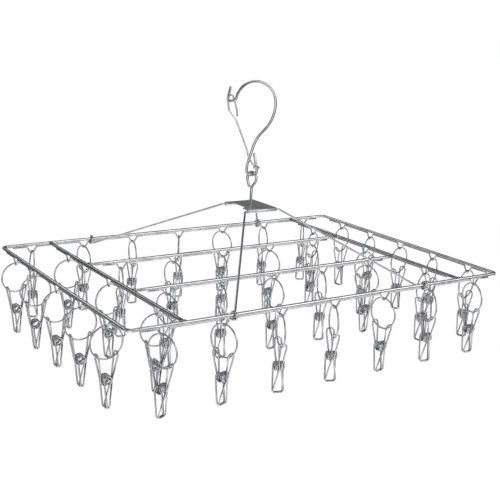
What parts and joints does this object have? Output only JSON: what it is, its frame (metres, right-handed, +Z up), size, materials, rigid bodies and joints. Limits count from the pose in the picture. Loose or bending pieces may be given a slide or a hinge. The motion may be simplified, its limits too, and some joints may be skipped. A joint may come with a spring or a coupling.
{
  "type": "clip drying hanger",
  "caption": "Rectangular wire drying frame hung by two bails, a swivelling plate and a clasped hook, with sprung wire clips swinging on rings under every rail.",
  "frame": {"origin": "inside top of the hook, where a clothes rail or line bears, above the frame's middle", "axes": "+X along the frame's long side, +Y from the front rail to the back rail, +Z up"},
  "size_m": [0.537, 0.3872, 0.3167],
  "materials": {
    "frame_wire": "bright drawn stainless steel wire, welded",
    "bar_wire": "duller stainless steel wire",
    "peg_wire": "bright hard-drawn stainless steel spring wire",
    "hook_wire": "bright stainless steel wire",
    "plate_sheet": "brushed stainless steel sheet"
  },
  "bodies": {
    "hook": {"hook": "hook_wire"},
    "clasp": {"clasp": "hook_wire"},
    "stem": {"stem": "hook_wire"},
    "plate": {"plate": "plate_sheet"},
    "front_bail": {"front_bail": "frame_wire"},
    "frame": {"outer_frame": "frame_wire", "left_cross_bar": "bar_wire", "right_cross_bar": "bar_wire", "near_inner_rail": "frame_wire", "far_inner_rail": "frame_wire", "frame_clip_wires": "frame_wire", "bar_clip_wires": "frame_wire"},
    "back_bail": {"back_bail": "frame_wire"},
    "front_clip_1": {"front_clip_1": "peg_wire"},
    "front_jaw_1": {"front_jaw_1": "peg_wire"},
    "front_clip_2": {"front_clip_2": "peg_wire"},
    "front_jaw_2": {"front_jaw_2": "peg_wire"},
    "front_clip_3": {"front_clip_3": "peg_wire"},
    "front_jaw_3": {"front_jaw_3": "peg_wire"},
    "front_clip_4": {"front_clip_4": "peg_wire"},
    "front_jaw_4": {"front_jaw_4": "peg_wire"},
    "front_clip_5": {"front_clip_5": "peg_wire"},
    "front_jaw_5": {"front_jaw_5": "peg_wire"},
    "front_clip_6": {"front_clip_6": "peg_wire"},
    "front_jaw_6": {"front_jaw_6": "peg_wire"},
    "front_clip_7": {"front_clip_7": "peg_wire"},
    "front_jaw_7": {"front_jaw_7": "peg_wire"},
    "back_clip_1": {"back_clip_1": "peg_wire"},
    "back_clip_2": {"back_clip_2": "peg_wire"},
    "back_clip_3": {"back_clip_3": "peg_wire"},
    "back_clip_4": {"back_clip_4": "peg_wire"},
    "back_clip_5": {"back_clip_5": "peg_wire"},
    "back_clip_6": {"back_clip_6": "peg_wire"},
    "back_clip_7": {"back_clip_7": "peg_wire"},
    "left_clip_1": {"left_clip_1": "peg_wire"},
    "left_clip_2": {"left_clip_2": "peg_wire"},
    "left_clip_3": {"left_clip_3": "peg_wire"},
    "left_clip_4": {"left_clip_4": "peg_wire"},
    "left_clip_5": {"left_clip_5": "peg_wire"},
    "right_clip_1": {"right_clip_1": "peg_wire"},
    "right_clip_2": {"right_clip_2": "peg_wire"},
    "right_clip_3": {"right_clip_3": "peg_wire"},
    "right_clip_4": {"right_clip_4": "peg_wire"},
    "right_clip_5": {"right_clip_5": "peg_wire"},
    "left_bar_clip_1": {"left_bar_clip_1": "peg_wire"},
    "left_bar_clip_2": {"left_bar_clip_2": "peg_wire"},
    "left_bar_clip_3": {"left_bar_clip_3": "peg_wire"},
    "right_bar_clip_1": {"right_bar_clip_1": "peg_wire"},
    "right_bar_clip_2": {"right_bar_clip_2": "peg_wire"},
    "right_bar_clip_3": {"right_bar_clip_3": "peg_wire"},
    "near_rail_clip_1": {"near_rail_clip_1": "peg_wire"},
    "near_rail_clip_2": {"near_rail_clip_2": "peg_wire"},
    "near_rail_clip_3": {"near_rail_clip_3": "peg_wire"},
    "near_rail_clip_4": {"near_rail_clip_4": "peg_wire"},
    "near_rail_clip_5": {"near_rail_clip_5": "peg_wire"},
    "far_rail_clip_1": {"far_rail_clip_1": "peg_wire"},
    "far_rail_clip_2": {"far_rail_clip_2": "peg_wire"},
    "far_rail_clip_3": {"far_rail_clip_3": "peg_wire"},
    "far_rail_clip_4": {"far_rail_clip_4": "peg_wire"},
    "far_rail_clip_5": {"far_rail_clip_5": "peg_wire"}
  },
  "joints": [
    {"name": "clasp_lift", "type": "slide", "parent": "hook", "child": "clasp", "axis": [-0.213, 0.0453, 0.976], "range_m": [0, 0.0125]},
    {"name": "link_swing", "type": "hinge", "parent": "hook", "child": "stem", "pos_m": [0, 0, -0.11], "axis": [0.9781, -0.2079, 0], "range_deg": [-25, 25]},
    {"name": "swivel", "type": "hinge", "parent": "stem", "child": "plate", "pos_m": [0, 0, -0.14765], "axis": [0, 0, 1], "continuous": true},
    {"name": "bail_rock", "type": "hinge", "parent": "plate", "child": "front_bail", "pos_m": [0, -0.025, -0.14888], "axis": [1, 0, 0], "range_deg": [-8, 8]},
    {"name": "front_eyelet_hinge", "type": "hinge", "parent": "front_bail", "child": "frame", "pos_m": [0, -0.175, -0.21795], "axis": [1, 0, 0], "range_deg": [-1.2, 1.2]},
    {"name": "back_hem_hinge", "type": "hinge", "parent": "plate", "child": "back_bail", "pos_m": [0, 0.025, -0.14888], "axis": [1, 0, 0], "range_deg": [-8.2, 8.2]},
    {"name": "front_clip_1_swing", "type": "hinge", "parent": "frame", "child": "front_clip_1", "pos_m": [-0.2121, -0.175, -0.2275], "axis": [1, 0, 0], "range_deg": [-20, 20]},
    {"name": "front_jaw_1_squeeze", "type": "hinge", "parent": "front_clip_1", "child": "front_jaw_1", "pos_m": [-0.2121, -0.175, -0.2825], "axis": [-0.9135, -0.4067, 0], "range_deg": [0, 15], "stiffness_Nm_per_rad": 0.1, "springref_deg": -17.19},
    {"name": "front_clip_2_swing", "type": "hinge", "parent": "frame", "child": "front_clip_2", "pos_m": [-0.1414, -0.175, -0.2275], "axis": [1, 0, 0], "range_deg": [-20, 20]},
    {"name": "front_jaw_2_squeeze", "type": "hinge", "parent": "front_clip_2", "child": "front_jaw_2", "pos_m": [-0.1414, -0.175, -0.2825], "axis": [-0.9613, -0.2756, 0], "range_deg": [0, 15], "stiffness_Nm_per_rad": 0.1, "springref_deg": -17.19},
    {"name": "front_clip_3_swing", "type": "hinge", "parent": "frame", "child": "front_clip_3", "pos_m": [-0.0707, -0.175, -0.2275], "axis": [1, 0, 0], "range_deg": [-20, 20]},
    {"name": "front_jaw_3_squeeze", "type": "hinge", "parent": "front_clip_3", "child": "front_jaw_3", "pos_m": [-0.0707, -0.175, -0.2825], "axis": [-0.9397, 0.342, 0], "range_deg": [0, 15], "stiffness_Nm_per_rad": 0.1, "springref_deg": -17.19},
    {"name": "front_clip_4_swing", "type": "hinge", "parent": "frame", "child": "front_clip_4", "pos_m": [0, -0.175, -0.2275], "axis": [1, 0, 0], "range_deg": [-20, 20]},
    {"name": "front_jaw_4_squeeze", "type": "hinge", "parent": "front_clip_4", "child": "front_jaw_4", "pos_m": [0, -0.175, -0.2825], "axis": [-0.9272, 0.3746, 0], "range_deg": [0, 15], "stiffness_Nm_per_rad": 0.1, "springref_deg": -17.19},
    {"name": "front_clip_5_swing", "type": "hinge", "parent": "frame", "child": "front_clip_5", "pos_m": [0.0707, -0.175, -0.2275], "axis": [1, 0, 0], "range_deg": [-20, 20]},
    {"name": "front_jaw_5_squeeze", "type": "hinge", "parent": "front_clip_5", "child": "front_jaw_5", "pos_m": [0.0707, -0.175, -0.2825], "axis": [-0.9925, -0.1219, 0], "range_deg": [0, 15], "stiffness_Nm_per_rad": 0.1, "springref_deg": -17.19},
    {"name": "front_clip_6_swing", "type": "hinge", "parent": "frame", "child": "front_clip_6", "pos_m": [0.1414, -0.175, -0.2275], "axis": [1, 0, 0], "range_deg": [-20, 20]},
    {"name": "front_jaw_6_squeeze", "type": "hinge", "parent": "front_clip_6", "child": "front_jaw_6", "pos_m": [0.1414, -0.175, -0.2825], "axis": [-0.9659, 0.2588, 0], "range_deg": [0, 15], "stiffness_Nm_per_rad": 0.1, "springref_deg": -17.19},
    {"name": "front_clip_7_swing", "type": "hinge", "parent": "frame", "child": "front_clip_7", "pos_m": [0.2121, -0.175, -0.2275], "axis": [1, 0, 0], "range_deg": [-20, 20]},
    {"name": "front_jaw_7_squeeze", "type": "hinge", "parent": "front_clip_7", "child": "front_jaw_7", "pos_m": [0.2121, -0.175, -0.2825], "axis": [-0.9945, 0.1045, 0], "range_deg": [0, 15], "stiffness_Nm_per_rad": 0.1, "springref_deg": -17.19},
    {"name": "back_clip_1_swing", "type": "hinge", "parent": "frame", "child": "back_clip_1", "pos_m": [-0.2121, 0.175, -0.2275], "axis": [1, 0, 0], "range_deg": [-20, 20]},
    {"name": "back_clip_2_swing", "type": "hinge", "parent": "frame", "child": "back_clip_2", "pos_m": [-0.1414, 0.175, -0.2275], "axis": [1, 0, 0], "range_deg": [-20, 20]},
    {"name": "back_clip_3_swing", "type": "hinge", "parent": "frame", "child": "back_clip_3", "pos_m": [-0.0707, 0.175, -0.2275], "axis": [1, 0, 0], "range_deg": [-20, 20]},
    {"name": "back_clip_4_swing", "type": "hinge", "parent": "frame", "child": "back_clip_4", "pos_m": [0, 0.175, -0.2275], "axis": [1, 0, 0], "range_deg": [-20, 20]},
    {"name": "back_clip_5_swing", "type": "hinge", "parent": "frame", "child": "back_clip_5", "pos_m": [0.0707, 0.175, -0.2275], "axis": [1, 0, 0], "range_deg": [-20, 20]},
    {"name": "back_clip_6_swing", "type": "hinge", "parent": "frame", "child": "back_clip_6", "pos_m": [0.1414, 0.175, -0.2275], "axis": [1, 0, 0], "range_deg": [-20, 20]},
    {"name": "back_clip_7_swing", "type": "hinge", "parent": "frame", "child": "back_clip_7", "pos_m": [0.2121, 0.175, -0.2275], "axis": [1, 0, 0], "range_deg": [-20, 20]},
    {"name": "left_clip_1_swing", "type": "hinge", "parent": "frame", "child": "left_clip_1", "pos_m": [-0.25, -0.128, -0.2275], "axis": [0, 1, 0], "range_deg": [-20, 20]},
    {"name": "left_clip_2_swing", "type": "hinge", "parent": "frame", "child": "left_clip_2", "pos_m": [-0.25, -0.064, -0.2275], "axis": [0, 1, 0], "range_deg": [-20, 20]},
    {"name": "left_clip_3_swing", "type": "hinge", "parent": "frame", "child": "left_clip_3", "pos_m": [-0.25, 0, -0.2275], "axis": [0, 1, 0], "range_deg": [-20, 20]},
    {"name": "left_clip_4_swing", "type": "hinge", "parent": "frame", "child": "left_clip_4", "pos_m": [-0.25, 0.064, -0.2275], "axis": [0, 1, 0], "range_deg": [-20, 20]},
    {"name": "left_clip_5_swing", "type": "hinge", "parent": "frame", "child": "left_clip_5", "pos_m": [-0.25, 0.128, -0.2275], "axis": [0, 1, 0], "range_deg": [-20, 20]},
    {"name": "right_clip_1_swing", "type": "hinge", "parent": "frame", "child": "right_clip_1", "pos_m": [0.25, -0.128, -0.2275], "axis": [0, 1, 0], "range_deg": [-20, 20]},
    {"name": "right_clip_2_swing", "type": "hinge", "parent": "frame", "child": "right_clip_2", "pos_m": [0.25, -0.064, -0.2275], "axis": [0, 1, 0], "range_deg": [-20, 20]},
    {"name": "right_clip_3_swing", "type": "hinge", "parent": "frame", "child": "right_clip_3", "pos_m": [0.25, 0, -0.2275], "axis": [0, 1, 0], "range_deg": [-20, 20]},
    {"name": "right_clip_4_swing", "type": "hinge", "parent": "frame", "child": "right_clip_4", "pos_m": [0.25, 0.064, -0.2275], "axis": [0, 1, 0], "range_deg": [-20, 20]},
    {"name": "right_clip_5_swing", "type": "hinge", "parent": "frame", "child": "right_clip_5", "pos_m": [0.25, 0.128, -0.2275], "axis": [0, 1, 0], "range_deg": [-20, 20]},
    {"name": "left_bar_clip_1_swing", "type": "hinge", "parent": "frame", "child": "left_bar_clip_1", "pos_m": [-0.1875, -0.116, -0.2275], "axis": [0, 1, 0], "range_deg": [-20, 20]},
    {"name": "left_bar_clip_2_swing", "type": "hinge", "parent": "frame", "child": "left_bar_clip_2", "pos_m": [-0.1875, 0, -0.2275], "axis": [0, 1, 0], "range_deg": [-20, 20]},
    {"name": "left_bar_clip_3_swing", "type": "hinge", "parent": "frame", "child": "left_bar_clip_3", "pos_m": [-0.1875, 0.116, -0.2275], "axis": [0, 1, 0], "range_deg": [-20, 20]},
    {"name": "right_bar_clip_1_swing", "type": "hinge", "parent": "frame", "child": "right_bar_clip_1", "pos_m": [0.1875, -0.116, -0.2275], "axis": [0, 1, 0], "range_deg": [-20, 20]},
    {"name": "right_bar_clip_2_swing", "type": "hinge", "parent": "frame", "child": "right_bar_clip_2", "pos_m": [0.1875, 0, -0.2275], "axis": [0, 1, 0], "range_deg": [-20, 20]},
    {"name": "right_bar_clip_3_swing", "type": "hinge", "parent": "frame", "child": "right_bar_clip_3", "pos_m": [0.1875, 0.116, -0.2275], "axis": [0, 1, 0], "range_deg": [-20, 20]},
    {"name": "near_rail_clip_1_swing", "type": "hinge", "parent": "frame", "child": "near_rail_clip_1", "pos_m": [-0.144, -0.0583, -0.2275], "axis": [1, 0, 0], "range_deg": [-20, 20]},
    {"name": "near_rail_clip_2_swing", "type": "hinge", "parent": "frame", "child": "near_rail_clip_2", "pos_m": [-0.072, -0.0583, -0.2275], "axis": [1, 0, 0], "range_deg": [-20, 20]},
    {"name": "near_rail_clip_3_swing", "type": "hinge", "parent": "frame", "child": "near_rail_clip_3", "pos_m": [0, -0.0583, -0.2275], "axis": [1, 0, 0], "range_deg": [-20, 20]},
    {"name": "near_rail_clip_4_swing", "type": "hinge", "parent": "frame", "child": "near_rail_clip_4", "pos_m": [0.072, -0.0583, -0.2275], "axis": [1, 0, 0], "range_deg": [-20, 20]},
    {"name": "near_rail_clip_5_swing", "type": "hinge", "parent": "frame", "child": "near_rail_clip_5", "pos_m": [0.144, -0.0583, -0.2275], "axis": [1, 0, 0], "range_deg": [-20, 20]},
    {"name": "far_rail_clip_1_swing", "type": "hinge", "parent": "frame", "child": "far_rail_clip_1", "pos_m": [-0.144, 0.0583, -0.2275], "axis": [1, 0, 0], "range_deg": [-20, 20]},
    {"name": "far_rail_clip_2_swing", "type": "hinge", "parent": "frame", "child": "far_rail_clip_2", "pos_m": [-0.072, 0.0583, -0.2275], "axis": [1, 0, 0], "range_deg": [-20, 20]},
    {"name": "far_rail_clip_3_swing", "type": "hinge", "parent": "frame", "child": "far_rail_clip_3", "pos_m": [0, 0.0583, -0.2275], "axis": [1, 0, 0], "range_deg": [-20, 20]},
    {"name": "far_rail_clip_4_swing", "type": "hinge", "parent": "frame", "child": "far_rail_clip_4", "pos_m": [0.072, 0.0583, -0.2275], "axis": [1, 0, 0], "range_deg": [-20, 20]},
    {"name": "far_rail_clip_5_swing", "type": "hinge", "parent": "frame", "child": "far_rail_clip_5", "pos_m": [0.144, 0.0583, -0.2275], "axis": [1, 0, 0], "range_deg": [-20, 20]}
  ],
  "couplings": [
    {"joint": "front_eyelet_hinge", "follows": "bail_rock", "ratio": -0.14286},
    {"joint": "back_hem_hinge", "follows": "bail_rock", "ratio": 1}
  ]
}
